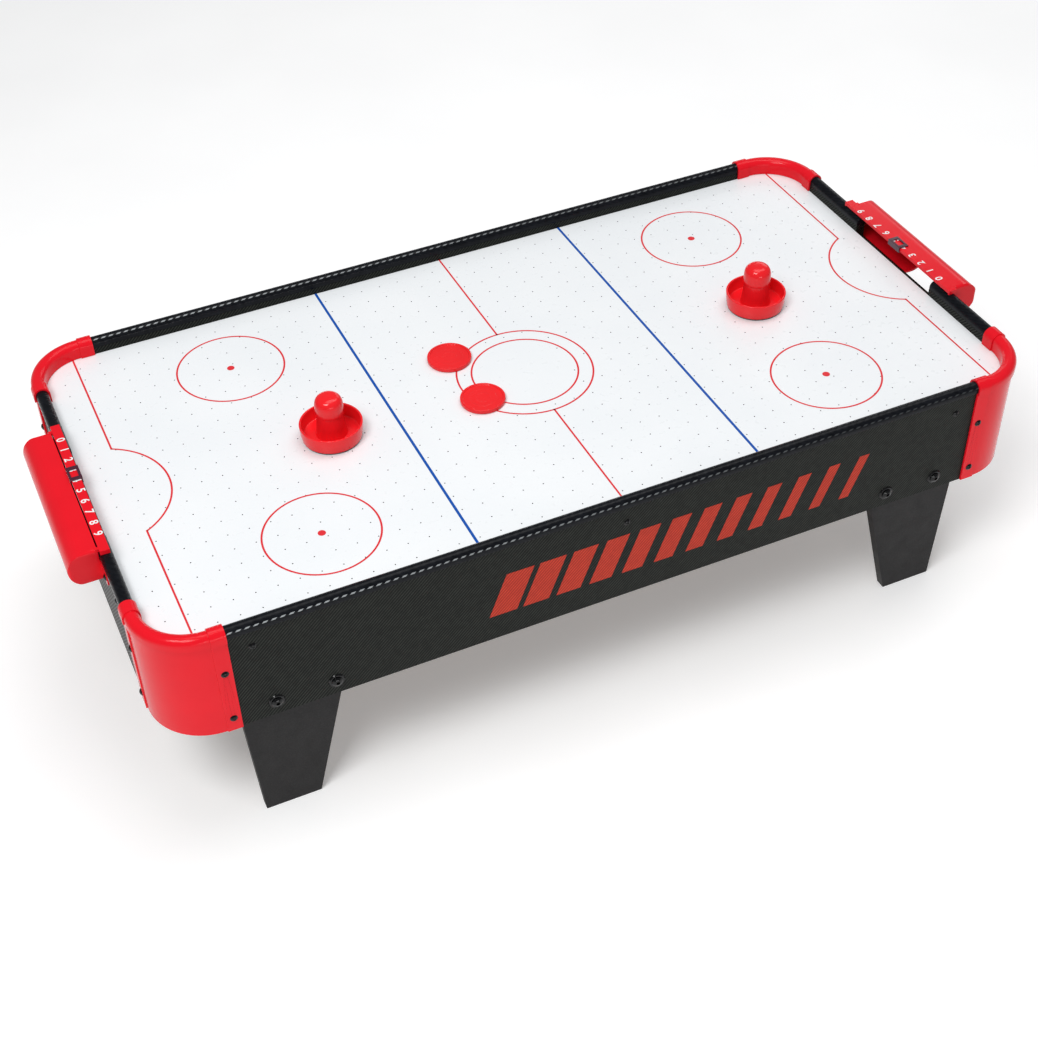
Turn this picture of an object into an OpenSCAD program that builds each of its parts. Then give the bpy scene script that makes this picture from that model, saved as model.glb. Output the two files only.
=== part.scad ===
// Air hockey table for a table top or the floor: a framed playing board over an
// air chamber, with a blower, goal hoods, score sliders, strikers and pucks.
// X runs along the table, Y across it, and Z up from the floor.

/* [Body] */
// Outside length over the end panels
body_l = 1020; // [980:10:1060]
// Outside width over the side panels
body_w = 530; // [500:10:560]
// Height of the playing surface above the floor
surf_h = 271; // [262:1:300]
// Thickness of the panels and legs
panel_t = 12; // [11:0.5:12]
// Depth of the panels below the playing surface
panel_drop = 117; // [115:1:120]
// Corner radius at the outside of the panels
corner_r = 64; // [62:1:66]

/* [Rail] */
// Width of the rail cap
rail_w = 14; // [13.5:0.5:14]
// Top of the rail above the playing surface
rail_top = 18.5; // [18:0.5:19]
// Underside of the rail cap above the playing surface
rail_base = 8; // [7.5:0.5:8.5]

/* [Board] */
// Thickness of the playing board
play_t = 5; // [4:0.5:5]
// Spacing of the air holes
air_pitch = 23.2; // [22:0.2:25]
// Radius of an air hole
air_r = 0.75; // [0.5:0.05:1]
// Depth of the air chamber under the board
chamber_d = 15; // [14:1:16]

/* [Legs] */
// Leg width at the floor
foot_w = 62; // [55:1:70]
// Leg width at the bottom of the side panel
leg_w = 111; // [100:1:115]
// Outer edge of the leg from the middle of the table, at the panel
leg_x = 429; // [425:1:429]
// Spacing of the two leg bolts
bolt_gap = 64; // [55:1:70]

/* [Goals] */
// Width of the goal mouth
mouth_w = 154; // [140:2:160]
// Length of the scale strip over the rail
strip_l = 220; // [216:1:224]
// Outer radius of the goal hood
hood_r = 20.5; // [19.5:0.5:21]
// Reach of the goal hood beyond the end panel
hood_reach = 36.5; // [35:0.5:38]
// Spacing of the score marks
score_pitch = 18.3; // [17:0.1:18.5]
// Resting score on the left scale
score_left = 3.4; // [0:0.1:9]
// Resting score on the right scale
score_right = 4.6; // [0:0.1:9]

/* [Playing pieces] */
// Radius of a striker at its rim
striker_r = 35; // [33:0.5:37]
// Height of a striker
striker_h = 54; // [50:1:58]
// Radius of a puck
puck_r = 25.5; // [24:0.5:27]
// Thickness of a puck
puck_t = 5; // [4:0.5:6]
// Place of the left striker along the table
striker_left_x = -231; // [-240:1:-220]
// Place of the left striker across the table
striker_left_y = -12.5; // [-30:0.5:30]
// Place of the right striker along the table
striker_right_x = 305; // [280:1:310]
// Place of the right striker across the table
striker_right_y = -3.5; // [-30:0.5:-3]

/* [Hidden] */
$fn = 64;
fit = 0.3;                                // gap between pieces that lie side by side
half_l = body_l / 2;
half_w = body_w / 2;
in_l = half_l - panel_t;                  // inner face of the end panels
in_w = half_w - panel_t;                  // inner face of the side panels
arc_x = half_l - corner_r;                // centre of the corner curve
arc_y = half_w - corner_r;
rail_r = rail_w / 2;
rail_x = in_l + rail_r;                   // middle of the end rails
rail_y = in_w + rail_r;                   // middle of the side rails
rail_shoulder = rail_top - rail_r;        // where the half round starts
clear_r = 61;
corner_clear_r = 33;
tongue_w = 4;
tongue_d = 6;
mouth_drop = 9;                           // mouth sill below the playing surface
cover_t = 2.5;
collar_l = 16;
arch_r = rail_r + 1;                      // corner cover over the corner
collar_r = rail_r + cover_t;              // collar over the end of a rail
cover_foot = 5;                           // where the cover's tube ends on the outside
flange_out = 2.5;
screw_r = 1.5;
screw_head_r = 4.1;
cover_screw_z = [-36, -100];
cover_screw_x = arc_x - collar_l / 2;
cover_screw_y = arc_y - collar_l / 2;
batten_w = 15;
batten_screw_z = -13;
panel_screw_x = 406;
end_screw_y = 146;
bracket_t = 18;
deck_z = -play_t - chamber_d;             // top of the chamber's floor
deck_t = 3;
rib_x = air_pitch * 6;
notch_w = 44;
notch_h = 9;
notch_gap = 80;
bolt_z = -99;
bolt_r = 3;
bolt_x = 360;                             // middle of a leg's bolt pair
washer_r = 9;
leg_top = -32;
foot_x = 420;                             // outer edge of the leg at the floor
hood_t = 2.5;
hood_z = 1.5;                             // middle of the hood's rounded nose
hood_end_r = 4;                           // rounding of the hood's two ends
hood_l = strip_l - 12;
strip_t = 2;
strip_top = rail_top + 5.5;
strip_lip = 4;                            // depth of the strip's inner lip
strip_x = [rail_x - 4.2, rail_x + 6.2];
strip_end = 2;                            // wall that closes each end of the strip
slot_w = 1.4;                             // slot between the strip and the hood
ear_l = 252;
ear_z = [-14, 6];
ear_screw_y = ear_l / 2 - 8;
ear_screw_z = -4;
return_x = [3, 29];                       // return opening, from the end panel
return_gap = 5;                           // its nearer edge from the middle of the table
return_wall = 9;                          // its farther edge from the end of the hood
slider_l = 23;
slider_t = 1.4;
slider_hook = 0.9;
slider_frame = 5;
score_span = 9 * score_pitch;
fan_r = 50;
case_r = 72;                              // flange of the blower case
drum_r = case_r - 10;
case_screw_r = case_r - 5.5;
grille_screw_r = case_r - 19;
case_t = 2.5;
case_h = 47;
intake_r = 38;
grille_slots = [[17, 23], [25, 30], [32, 37], [39, 44]];
blade_count = 24;
motor_r = 13;
shaft_r = 1.5;
switch_x = 200;
jack_x = 240;
power_z = -70;
pad_t = 1.5;
rocker_tilt = 8;
lead_r = 1.5;
lead_z = deck_z - deck_t - lead_r - 1;

red = [0.86, 0.07, 0.10];
charcoal = [0.13, 0.13, 0.13];
black = [0.04, 0.04, 0.05];
wood = [0.72, 0.58, 0.42];

// ---------- helpers ----------

// Everything above the floor is placed from the playing surface.
module at_surface() translate([0, 0, surf_h]) children();

// A box given by its low and high corners.
module span(lo, hi) translate(lo) cube(hi - lo);

// The shape and its copies in the other quarters of the table.
module quarter(sx, sy) mirror([sx < 0 ? 1 : 0, 0, 0]) mirror([0, sy < 0 ? 1 : 0, 0]) children();
module all_quarters() for (sx = [-1, 1], sy = [-1, 1]) quarter(sx, sy) children();

// The left goal is the right goal turned half round.
module goal_side(s) rotate([0, 0, s < 0 ? 180 : 0]) children();

// A rod along Y or X through a point.
module rod_y(p, r, from, to) translate([p[0], from, p[1]]) rotate([-90, 0, 0]) cylinder(r = r, h = to - from);
module rod_x(p, r, from, to) translate([from, p[0], p[1]]) rotate([0, 90, 0]) cylinder(r = r, h = to - from);

// ---------- board and panels ----------

// Air holes keep clear of the printed centre and of the round corners.
function on_board(x, y) = norm([x, y]) > clear_r
  && (abs(x) < arc_x || abs(y) < arc_y || norm([abs(x) - arc_x, abs(y) - arc_y]) < corner_clear_r);

module board_outline(gap) {
  r = corner_r - panel_t;
  w = in_w - gap;
  l = in_l - gap;
  square([2 * l, 2 * (w - r)], center = true);
  square([2 * (l - r), 2 * w], center = true);
  for (sx = [-1, 1], sy = [-1, 1]) translate([sx * (l - r), sy * (w - r)]) circle(r = r);
}

module play_board() color("white") at_surface() translate([0, 0, -play_t]) linear_extrude(play_t)
  difference() {
    board_outline(fit);
    for (i = [-20.5:20.5], j = [-10:10])
      if (on_board(i * air_pitch, j * air_pitch))
        translate([i * air_pitch, j * air_pitch]) circle(r = air_r, $fn = 16);
  }

module side_panel() difference() {
  span([-arc_x + fit, in_w, -panel_drop], [arc_x - fit, half_w, rail_base]);
  span([-half_l, rail_y - tongue_w / 2 - 0.1, rail_base - tongue_d - 0.5],
    [half_l, rail_y + tongue_w / 2 + 0.1, rail_base + 1]);
  for (sx = [-1, 1], k = [-0.5, 0.5])
    rod_y([sx * (bolt_x + k * bolt_gap), bolt_z], bolt_r + 0.2, in_w - 1, half_w + 1);
  for (x = [-panel_screw_x, 0, panel_screw_x])
    rod_y([x, batten_screw_z], screw_r, in_w - 1, half_w + 1);
  for (sx = [-1, 1], z = cover_screw_z)
    rod_y([sx * cover_screw_x, z], screw_r, in_w - 1, half_w + 1);
}

module side_panel_front() color(charcoal) at_surface() mirror([0, 1, 0]) side_panel();

module side_panel_back() color(charcoal) at_surface() difference() {
  side_panel();
  span([switch_x - 9.7, in_w - 1, power_z - 6.7], [switch_x + 9.7, half_w + 1, power_z + 6.7]);
  rod_y([jack_x, power_z], 6.1, in_w - 1, half_w + 1);
}

module end_panel(s) goal_side(s) difference() {
  span([in_l, -arc_y + fit, -panel_drop], [half_l, arc_y - fit, rail_base]);
  span([in_l - 1, -mouth_w / 2, -mouth_drop], [half_l + 1, mouth_w / 2, rail_base + 1]);
  span([rail_x - tongue_w / 2 - 0.1, -half_w, rail_base - tongue_d - 0.5],
    [rail_x + tongue_w / 2 + 0.1, half_w, rail_base + 1]);
  for (sy = [-1, 1]) {
    rod_x([sy * ear_screw_y, ear_screw_z], screw_r, in_l - 1, half_l + 1);
    rod_x([sy * end_screw_y, batten_screw_z], screw_r, in_l - 1, half_l + 1);
    for (z = cover_screw_z) rod_x([sy * cover_screw_y, z], screw_r, in_l - 1, half_l + 1);
  }
}
module end_panel_left() color(charcoal) at_surface() end_panel(-1);
module end_panel_right() color(charcoal) at_surface() end_panel(1);

// ---------- rails ----------

// Section of the rail: x across, y up.
module rail_section() {
  translate([0, rail_shoulder]) intersection() {
    circle(r = rail_r);
    translate([-rail_r, 0]) square([rail_w, rail_r]);
  }
  translate([-rail_r, rail_base]) square([rail_w, rail_shoulder - rail_base]);
  translate([-tongue_w / 2, rail_base - tongue_d]) square([tongue_w, tongue_d + 1]);
}

module rail_along_x(y, from, to) translate([from, y, 0]) rotate([90, 0, 90])
  linear_extrude(to - from) rail_section();
module rail_along_y(x, from, to) translate([x, to, 0]) rotate([90, 0, 0])
  linear_extrude(to - from) rail_section();

module side_rail(sy) color(black) at_surface() rail_along_x(sy * rail_y, -arc_x + fit, arc_x - fit);
module end_rail(sx, sy) color(black) at_surface() quarter(sx, sy)
  rail_along_y(rail_x, mouth_w / 2, arc_y - fit);

// ---------- corner covers and brackets ----------

// Section of the cover round the corner: x is the distance from the corner's centre.
module corner_section() {
  mid = rail_x - arc_x;
  difference() {
    translate([mid, rail_shoulder]) circle(r = arch_r);
    translate([mid, rail_shoulder]) circle(r = arch_r - cover_t);
    translate([mid - rail_w, rail_shoulder - rail_w]) square([2 * rail_w, rail_w]);
  }
  translate([mid - arch_r, fit]) square([cover_t, rail_shoulder - fit]);
  translate([mid + arch_r - cover_t, cover_foot]) square([cover_t, rail_shoulder - cover_foot]);
  translate([corner_r - 1, cover_foot]) square([mid + arch_r - corner_r + 1, cover_t]);
  translate([corner_r - 1.5, -panel_drop]) square([cover_t, panel_drop + cover_foot + 1]);
}

// Section of the collar that sleeves the end of a rail: x across from the rail's middle.
module collar_section() {
  bore_r = rail_r + 0.2;
  translate([0, rail_shoulder]) difference() {
    circle(r = collar_r);
    circle(r = bore_r);
    translate([-rail_w, -rail_w]) square([2 * rail_w, rail_w]);
  }
  translate([-collar_r, fit]) square([collar_r - bore_r, rail_shoulder - fit]);
  translate([bore_r, cover_foot]) square([collar_r - bore_r, rail_shoulder - cover_foot]);
  face = panel_t - rail_r;
  translate([face, cover_foot]) square([collar_r - face, rail_base - cover_foot - 0.2]);
  translate([face, -panel_drop]) square([flange_out, panel_drop + cover_foot + 1]);
}

module cover_piece() difference() {
  union() {
    translate([arc_x, arc_y, 0]) rotate_extrude(angle = 90) corner_section();
    translate([arc_x - collar_l, rail_y, 0]) rotate([90, 0, 90]) linear_extrude(collar_l) collar_section();
    translate([rail_x, arc_y, 0]) rotate([90, 0, 0]) linear_extrude(collar_l) collar_section();
  }
  for (z = cover_screw_z) {
    rod_y([cover_screw_x, z], screw_r + 0.2, half_w - 1, half_w + 9);
    rod_x([cover_screw_y, z], screw_r + 0.2, half_l - 1, half_l + 9);
  }
}
module corner_cover(sx, sy) color(red) at_surface() quarter(sx, sy) cover_piece();

// A bent block that joins two panels inside a corner.
module bracket_piece() difference() {
  r = corner_r - panel_t - fit;
  top = -play_t - 0.2;
  low = -panel_drop + 2;
  union() {
    translate([arc_x, arc_y, low]) rotate_extrude(angle = 90)
      translate([r - bracket_t, 0]) square([bracket_t, top - low]);
    span([arc_x - collar_l, arc_y + r - bracket_t, low], [arc_x, arc_y + r, top]);
    span([arc_x + r - bracket_t, arc_y - collar_l, low], [arc_x + r, arc_y, top]);
  }
  for (z = cover_screw_z) {
    rod_y([cover_screw_x, z], screw_r, in_w - 8, in_w + 1);
    rod_x([cover_screw_y, z], screw_r, in_l - 8, in_l + 1);
  }
}
module corner_bracket(sx, sy) color(wood) at_surface() quarter(sx, sy) bracket_piece();

// ---------- goal hoods and score sliders ----------

// Outline of the hood across its length: x outwards from the end panel, y up.
module hood_outline(inset) {
  r = hood_r - inset;
  nose = hood_reach - hood_r;
  translate([nose, hood_z]) circle(r = r);
  translate([0, hood_z - r]) square([nose, 2 * r]);
}

module along_y(x, len) translate([x, len / 2, 0]) rotate([90, 0, 0]) linear_extrude(len) children();

// The strip over the rail that carries the score marks. A slot parts it from the hood
// so that the slider can reach round it.
module score_strip() {
  span([strip_x[0], -strip_l / 2, strip_top - strip_t], [strip_x[1], strip_l / 2, strip_top]);
  span([strip_x[0], -strip_l / 2, strip_top - strip_lip],
    [strip_x[0] + 1.5, strip_l / 2, strip_top - strip_t + 1]);
  for (s = [0, 1]) mirror([0, s, 0]) {
    span([strip_x[0], strip_l / 2 - strip_end, rail_top + fit],
      [strip_x[1], strip_l / 2, strip_top - strip_t + 1]);
    span([strip_x[1] - 2, hood_l / 2 - 4, rail_top + fit],
      [strip_x[1] + slot_w + hood_t, hood_l / 2, strip_top - strip_t + 0.5]);
  }
}

// A strip as long as the hood, from a to b, with its corners at b rounded.
module soft_strip(a, b) {
  e = hood_l / 2;
  r = hood_end_r;
  translate([a, -e]) square([b - a - r, 2 * e]);
  translate([a, r - e]) square([b - a, 2 * (e - r)]);
  for (s = [-1, 1]) translate([b - r, s * (e - r)]) circle(r = r);
}

// The outside of the hood, with its ends rounded as seen from above and from the side.
module hood_block() intersection() {
  along_y(half_l, hood_l + 2) hood_outline(0);
  translate([0, 0, -2 * hood_r]) linear_extrude(4 * hood_r)
    soft_strip(in_l - 20, half_l + hood_reach + 0.2);
  translate([in_l - 20, 0, hood_z]) rotate([0, 90, 0]) linear_extrude(3 * hood_reach)
    for (s = [0, 1]) mirror([s, 0]) soft_strip(0, hood_r + 0.2);
}

module hood_piece() difference() {
  union() {
    difference() {
      hood_block();
      along_y(half_l, hood_l - 2 * hood_t) translate([-1, 0]) hood_outline(hood_t);
      span([half_l - hood_r, -hood_l, -2 * hood_r], [half_l + 0.1, hood_l, 2 * hood_r]);
      span([half_l - 1, -hood_l, 0], [strip_x[1] + slot_w, hood_l, 2 * hood_r]);
    }
    score_strip();
    for (s = [-1, 1]) ear(s);
  }
  // The puck falls out of the hood through one half of its floor.
  span([half_l + return_x[0], return_wall - hood_l / 2, hood_z - hood_r - 1],
    [half_l + return_x[1], -return_gap, hood_z - hood_r / 2]);
  for (s = [-1, 1]) rod_x([s * ear_screw_y, ear_screw_z], screw_r + 0.2, half_l - 1, half_l + 6);
}

// A rounded tab that is screwed to the end panel.
module ear(s) {
  h = ear_z[1] - ear_z[0];
  c = (ear_z[0] + ear_z[1]) / 2;
  e = ear_l / 2 - h / 2;
  rod_x([s * e, c], h / 2, half_l, half_l + hood_t);
  span([half_l, min(s * e, s * (hood_l / 2 - hood_t)), ear_z[0]],
    [half_l + hood_t, max(s * e, s * (hood_l / 2 - hood_t)), ear_z[1]]);
}
module goal_hood(s) color(red) at_surface() goal_side(s) hood_piece();

// A window frame that clips round the strip.
module slider_piece(score) {
  lo = strip_x[0] - fit;
  hi = strip_x[1] + fit;
  over = strip_top + 0.2;
  lip_z = strip_top - strip_lip - 0.2;
  plate_z = strip_top - strip_t - 0.2;
  e = slider_l / 2;
  translate([0, (score - 4.5) * score_pitch, 0]) difference() {
    union() {
      span([lo - slider_t, -e, over], [hi + slider_hook, e, over + slider_t]);
      span([lo - slider_t, -e, lip_z - slider_hook], [lo, e, over + slider_t]);
      span([lo - slider_t, -e, lip_z - slider_hook], [lo + 2, e, lip_z]);
      span([hi, -e, plate_z - slider_hook], [hi + slider_hook, e, over + slider_t]);
      span([hi - 1.5, -e, plate_z - slider_hook], [hi + slider_hook, e, plate_z]);
    }
    span([lo + 1.5, slider_frame - e, over - 1], [hi - 1.5, e - slider_frame, over + 9]);
  }
}
module score_slider(s) color([0.28, 0.08, 0.18]) at_surface() goal_side(s)
  slider_piece(s < 0 ? score_left : score_right);

// ---------- legs and their bolts ----------

module leg_piece() {
  in_top = leg_x - leg_w;
  slope = (foot_x - foot_w - in_top) / (surf_h - panel_drop);
  rise = surf_h + leg_top;
  translate([0, in_w - fit, 0]) rotate([90, 0, 0]) difference() {
    linear_extrude(panel_t) polygon([
      [foot_x - foot_w, 0], [foot_x, 0], [leg_x, surf_h - panel_drop], [leg_x, rise],
      [in_top - slope * (panel_drop + leg_top), rise]]);
    for (k = [-0.5, 0.5]) translate([bolt_x + k * bolt_gap, surf_h + bolt_z, -1])
      cylinder(r = bolt_r + 0.2, h = panel_t + 2);
  }
}
module leg(sx, sy) color([0.2, 0.19, 0.19]) quarter(sx, sy) leg_piece();

module each_leg_bolt() all_quarters() for (k = [-0.5, 0.5])
  translate([bolt_x + k * bolt_gap, half_w, surf_h + bolt_z]) rotate([-90, 0, 0]) children();

module leg_bolts() color(black) each_leg_bolt() {
  translate([0, 0, -36]) cylinder(r = bolt_r, h = 38);
  translate([0, 0, 1.8]) difference() {
    intersection() {
      cylinder(r = 6, h = 3.2);
      translate([0, 0, -5.5]) sphere(r = 8.8);
    }
    translate([0, 0, 1.2]) cylinder(r = 2.3, h = 3, $fn = 6);
  }
}
module leg_washers() color(black) each_leg_bolt() difference() {
  cylinder(r1 = washer_r, r2 = washer_r - 1.2, h = 1.7);
  translate([0, 0, -1]) cylinder(r = bolt_r + 0.2, h = 4);
}
module leg_nuts() color("silver") each_leg_bolt() translate([0, 0, -2 * panel_t - 2 * fit - 5])
  difference() {
    cylinder(r = 5.8, h = 5, $fn = 6);
    translate([0, 0, -1]) cylinder(r = bolt_r, h = 7);
  }

// ---------- air chamber ----------

module side_batten(sy) color(wood) at_surface() quarter(1, sy) difference() {
  span([-arc_x + collar_l + 1, in_w - batten_w - 0.1, deck_z + 0.1],
    [arc_x - collar_l - 1, in_w - 0.1, -play_t - 0.1]);
  for (x = [-panel_screw_x, 0, panel_screw_x])
    rod_y([x, batten_screw_z], screw_r, in_w - 9, in_w + 1);
  each_deck_screw() translate([0, 0, deck_z]) cylinder(r = screw_r, h = 6);
}
module end_batten(sx) color(wood) at_surface() quarter(sx, 1) difference() {
  span([in_l - batten_w - 0.1, -arc_y + collar_l + 1, deck_z + 0.1],
    [in_l - 0.1, arc_y - collar_l - 1, -play_t - 0.1]);
  for (sy = [-1, 1]) {
    rod_x([sy * end_screw_y, batten_screw_z], screw_r, in_l - 9, in_l + 1);
  }
  each_deck_screw() translate([0, 0, deck_z]) cylinder(r = screw_r, h = 6);
}
module cross_rib(sx) color(wood) at_surface() difference() {
  span([sx * rib_x - batten_w / 2, -in_w + batten_w + 0.4, deck_z + 0.1],
    [sx * rib_x + batten_w / 2, in_w - batten_w - 0.4, -play_t - 0.1]);
  // Notches let the air through.
  for (i = [-2:2]) translate([sx * rib_x, i * notch_gap, deck_z])
    span([-batten_w, -notch_w / 2, -1], [batten_w, notch_w / 2, notch_h]);
}

module chamber_deck() color([0.55, 0.40, 0.26]) at_surface() translate([0, 0, deck_z - deck_t])
  difference() {
    linear_extrude(deck_t) difference() {
      square([2 * (in_l - fit), 2 * (in_w - fit)], center = true);
      for (sx = [-1, 1], sy = [-1, 1]) translate([sx * in_l, sy * in_w])
        square(2 * (corner_r - panel_t + collar_l + fit), center = true);
      circle(r = case_r - 12);
    }
    each_deck_screw() translate([0, 0, -1]) cylinder(r = screw_r, h = 6);
    each_case_screw(case_screw_r) translate([0, 0, -1]) cylinder(r = screw_r, h = 6);
  }

module each_deck_screw() {
  for (sy = [-1, 1], x = [-380:190:380]) translate([x, sy * (in_w - batten_w / 2), 0]) children();
  for (sx = [-1, 1], y = [-90, 90]) translate([sx * (in_l - batten_w / 2), y, 0]) children();
}
module deck_screws() color(black) at_surface() each_deck_screw() {
  translate([0, 0, deck_z - deck_t - 1.8]) cylinder(r = screw_head_r, h = 1.8);
  translate([0, 0, deck_z - deck_t - 0.5]) cylinder(r = screw_r, h = deck_t + 5.5);
}

// ---------- blower ----------

module each_case_screw(r) for (a = [45:90:315]) rotate(a) translate([r, 0, 0]) children();

module blower_case() color([0.12, 0.12, 0.13]) at_surface()
  translate([0, 0, deck_z - deck_t - case_h]) difference() {
    union() {
      cylinder(r = drum_r, h = case_h);
      translate([0, 0, case_h - 3]) cylinder(r = case_r, h = 2.9);
    }
    translate([0, 0, case_t]) cylinder(r = drum_r - case_t, h = case_h);
    translate([0, 0, -1]) cylinder(r = intake_r + 8, h = 6);
    each_case_screw(case_screw_r) translate([0, 0, case_h - 5]) cylinder(r = screw_r + 0.2, h = 9);
    each_case_screw(grille_screw_r) translate([0, 0, -1]) cylinder(r = screw_r, h = 6);
  }

grille_z = deck_z - deck_t - case_h;
module blower_grille() color([0.12, 0.12, 0.13]) at_surface() translate([0, 0, grille_z - 2.6])
  linear_extrude(2.5) difference() {
    circle(r = drum_r);
    difference() {
      for (slot = grille_slots) difference() {
        circle(r = slot[1]);
        circle(r = slot[0]);
      }
      for (a = [0:60:300]) rotate(a) translate([0, -1.2]) square([intake_r + 9, 2.4]);
    }
    each_case_screw(grille_screw_r) circle(r = screw_r + 0.2);
  }

module blower_motor() color("silver") at_surface() translate([0, 0, grille_z]) difference() {
  union() {
    cylinder(r = motor_r, h = 20);
    translate([0, 0, 20]) cylinder(r = 4, h = 1.5);
  }
  translate([0, 0, 8]) cylinder(r = shaft_r + 0.05, h = 20);
}

module blower_shaft() color("silver") at_surface() translate([0, 0, grille_z + 8.2])
  cylinder(r = shaft_r, h = 30);

module blower_wheel() color([0.2, 0.2, 0.22]) at_surface() translate([0, 0, grille_z + 6]) {
  difference() {
    union() {
      translate([0, 0, 30]) cylinder(r = fan_r, h = 2);
      translate([0, 0, 18]) cylinder(r = 6, h = 13);
    }
    translate([0, 0, 10]) cylinder(r = shaft_r, h = 30);
  }
  difference() {
    cylinder(r = fan_r, h = 2);
    translate([0, 0, -1]) cylinder(r = intake_r, h = 4);
  }
  for (i = [0:blade_count - 1]) rotate(i * 360 / blade_count) translate([intake_r + 5.5, 0, 0]) rotate(35)
    span([-4.5, -0.6, 1], [4.5, 0.6, 31]);
}

module blower_screws() color(black) at_surface() {
  each_case_screw(case_screw_r) {
    translate([0, 0, deck_z - deck_t - 4.8]) cylinder(r = screw_head_r, h = 1.8);
    translate([0, 0, deck_z - deck_t - 3.2]) cylinder(r = screw_r, h = deck_t + 3);
  }
  each_case_screw(grille_screw_r) {
    translate([0, 0, grille_z - 4.4]) cylinder(r = screw_head_r, h = 1.8);
    translate([0, 0, grille_z - 2.8]) cylinder(r = screw_r, h = 5.2);
  }
}

// ---------- power ----------

module switch_body() color(black) at_surface() translate([switch_x, half_w, power_z]) difference() {
  union() {
    span([-11.5, 0, -8.5], [11.5, 2, 8.5]);
    span([-9.5, -16, -6.5], [9.5, 0.5, 6.5]);
  }
  span([-8, -5, -5], [8, 3, 5]);
}

// The rocker pivots on an upright pin between its two ends.
module switch_rocker() color([0.7, 0.05, 0.06]) at_surface() translate([switch_x, half_w - 1, power_z])
  rotate([0, 0, -rocker_tilt]) {
    span([-7, -1.6, -4.6], [7, 3.2, 4.6]);
    translate([0, 0, -4.6]) cylinder(r = 2, h = 9.2);
  }

module power_jack() color(black) at_surface() translate([jack_x, half_w, power_z]) rotate([-90, 0, 0])
  difference() {
    union() {
      cylinder(r = 8, h = 2);
      translate([0, 0, -16]) cylinder(r = 6, h = 17);
    }
    translate([0, 0, -9]) cylinder(r = 3.2, h = 12);
  }

// The lead from the blower to the switch and the jack, held under the deck.
lead_path = [[9, 3.3, -72.6], [9, 3.3, -74.3], [72, 26, -74.3], [74, 27, -44], [110, 40, lead_z],
  [switch_x, 70, lead_z], [switch_x, 232, lead_z], [switch_x, 243, power_z],
  [switch_x, 248.8, power_z]];
link_path = [[205, 248.8, power_z], [205, 243, power_z], [jack_x, 243, power_z], [jack_x, 248.8, power_z]];
module run_lead(path) for (i = [0:len(path) - 2]) {
  a = path[i];
  b = path[i + 1];
  d = b - a;
  if (i > 0) translate(a) sphere(r = lead_r + 0.1, $fn = 24);
  translate(a) rotate([0, acos(d[2] / norm(d)), atan2(d[1], d[0])]) cylinder(r = lead_r, h = norm(d));
}
module power_lead() color(black) at_surface() {
  run_lead(lead_path);
  run_lead(link_path);
}
module lead_clips() color("white") at_surface() for (y = [100, 160, 220])
  translate([200, y, lead_z]) difference() {
    union() {
      span([-3, -3, -2.4], [3, 3, lead_r + 0.9]);
      span([-8, -3, lead_r - 0.6], [8, 3, lead_r + 0.9]);
    }
    rod_y([0, 0], lead_r + 0.1, -9, 9);
  }

// ---------- screws ----------

// A pan-head screw that points along -Z from a face.
module pan_screw(depth) {
  difference() {
    intersection() {
      cylinder(r = screw_head_r, h = 2.4);
      translate([0, 0, -3]) sphere(r = 5.2);
    }
    for (a = [0, 90]) rotate(a) translate([-1.8, -0.4, 1.3]) cube([3.6, 0.8, 2]);
  }
  translate([0, 0, -depth]) cylinder(r = screw_r, h = depth + 0.5);
}
module panel_screws() color(black) at_surface() {
  for (sy = [0, 1], x = [-panel_screw_x, 0, panel_screw_x]) mirror([0, sy, 0])
    translate([x, half_w, batten_screw_z]) rotate([-90, 0, 0]) pan_screw(panel_t + 8);
  for (sx = [0, 1], y = [-end_screw_y, end_screw_y]) mirror([sx, 0, 0])
    translate([half_l, y, batten_screw_z]) rotate([0, 90, 0]) pan_screw(panel_t + 8);
}
module cover_screws() color(black) at_surface() all_quarters() for (z = cover_screw_z) {
  translate([cover_screw_x, half_w + flange_out, z]) rotate([-90, 0, 0]) pan_screw(panel_t + 9);
  translate([half_l + flange_out, cover_screw_y, z]) rotate([0, 90, 0]) pan_screw(panel_t + 9);
}
module hood_screws() color(black) at_surface() for (sx = [0, 1], y = [-ear_screw_y, ear_screw_y])
  mirror([sx, 0, 0]) translate([half_l + hood_t, y, ear_screw_z]) rotate([0, 90, 0]) pan_screw(panel_t + 2);

// ---------- strikers and pucks ----------

module striker_piece() rotate_extrude() {
  post_r = 16;
  cap_r = 15.6;
  cap_z = 31.5;
  top = striker_h;
  polygon([
    [0, 0], [striker_r - 1.8, 0], [striker_r - 0.6, 8], [striker_r, 17.4], [striker_r - 0.4, 18.4],
    [striker_r - 1.2, 18.8], [striker_r - 2, 18.4], [striker_r - 2.4, 17.4], [striker_r - 3.2, 4.5],
    [striker_r - 4.6, 3], [post_r + 1.6, 3], [post_r + 0.5, 4.2], [post_r - 1.8, cap_z],
    [cap_r - 0.3, cap_z], [cap_r, cap_z + 0.6], [cap_r, top - 11], [0, top - 11]]);
  intersection() {
    translate([0, top - 22]) circle(r = 22);
    translate([cap_r - 11, top - 11]) circle(r = 11);
    square([striker_r, top]);
  }
  intersection() {
    translate([0, top - 22]) circle(r = 22);
    translate([0, top - 11]) square([cap_r - 11, 12]);
  }
}
striker_at = [[striker_left_x, striker_left_y], [striker_right_x, striker_right_y]];
module striker(i) color(red) translate([striker_at[i][0], striker_at[i][1], surf_h + pad_t + fit])
  striker_piece();
module striker_pad(i) color(black) translate([striker_at[i][0], striker_at[i][1], surf_h + fit])
  cylinder(r = striker_r - 2.6, h = pad_t);

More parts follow.
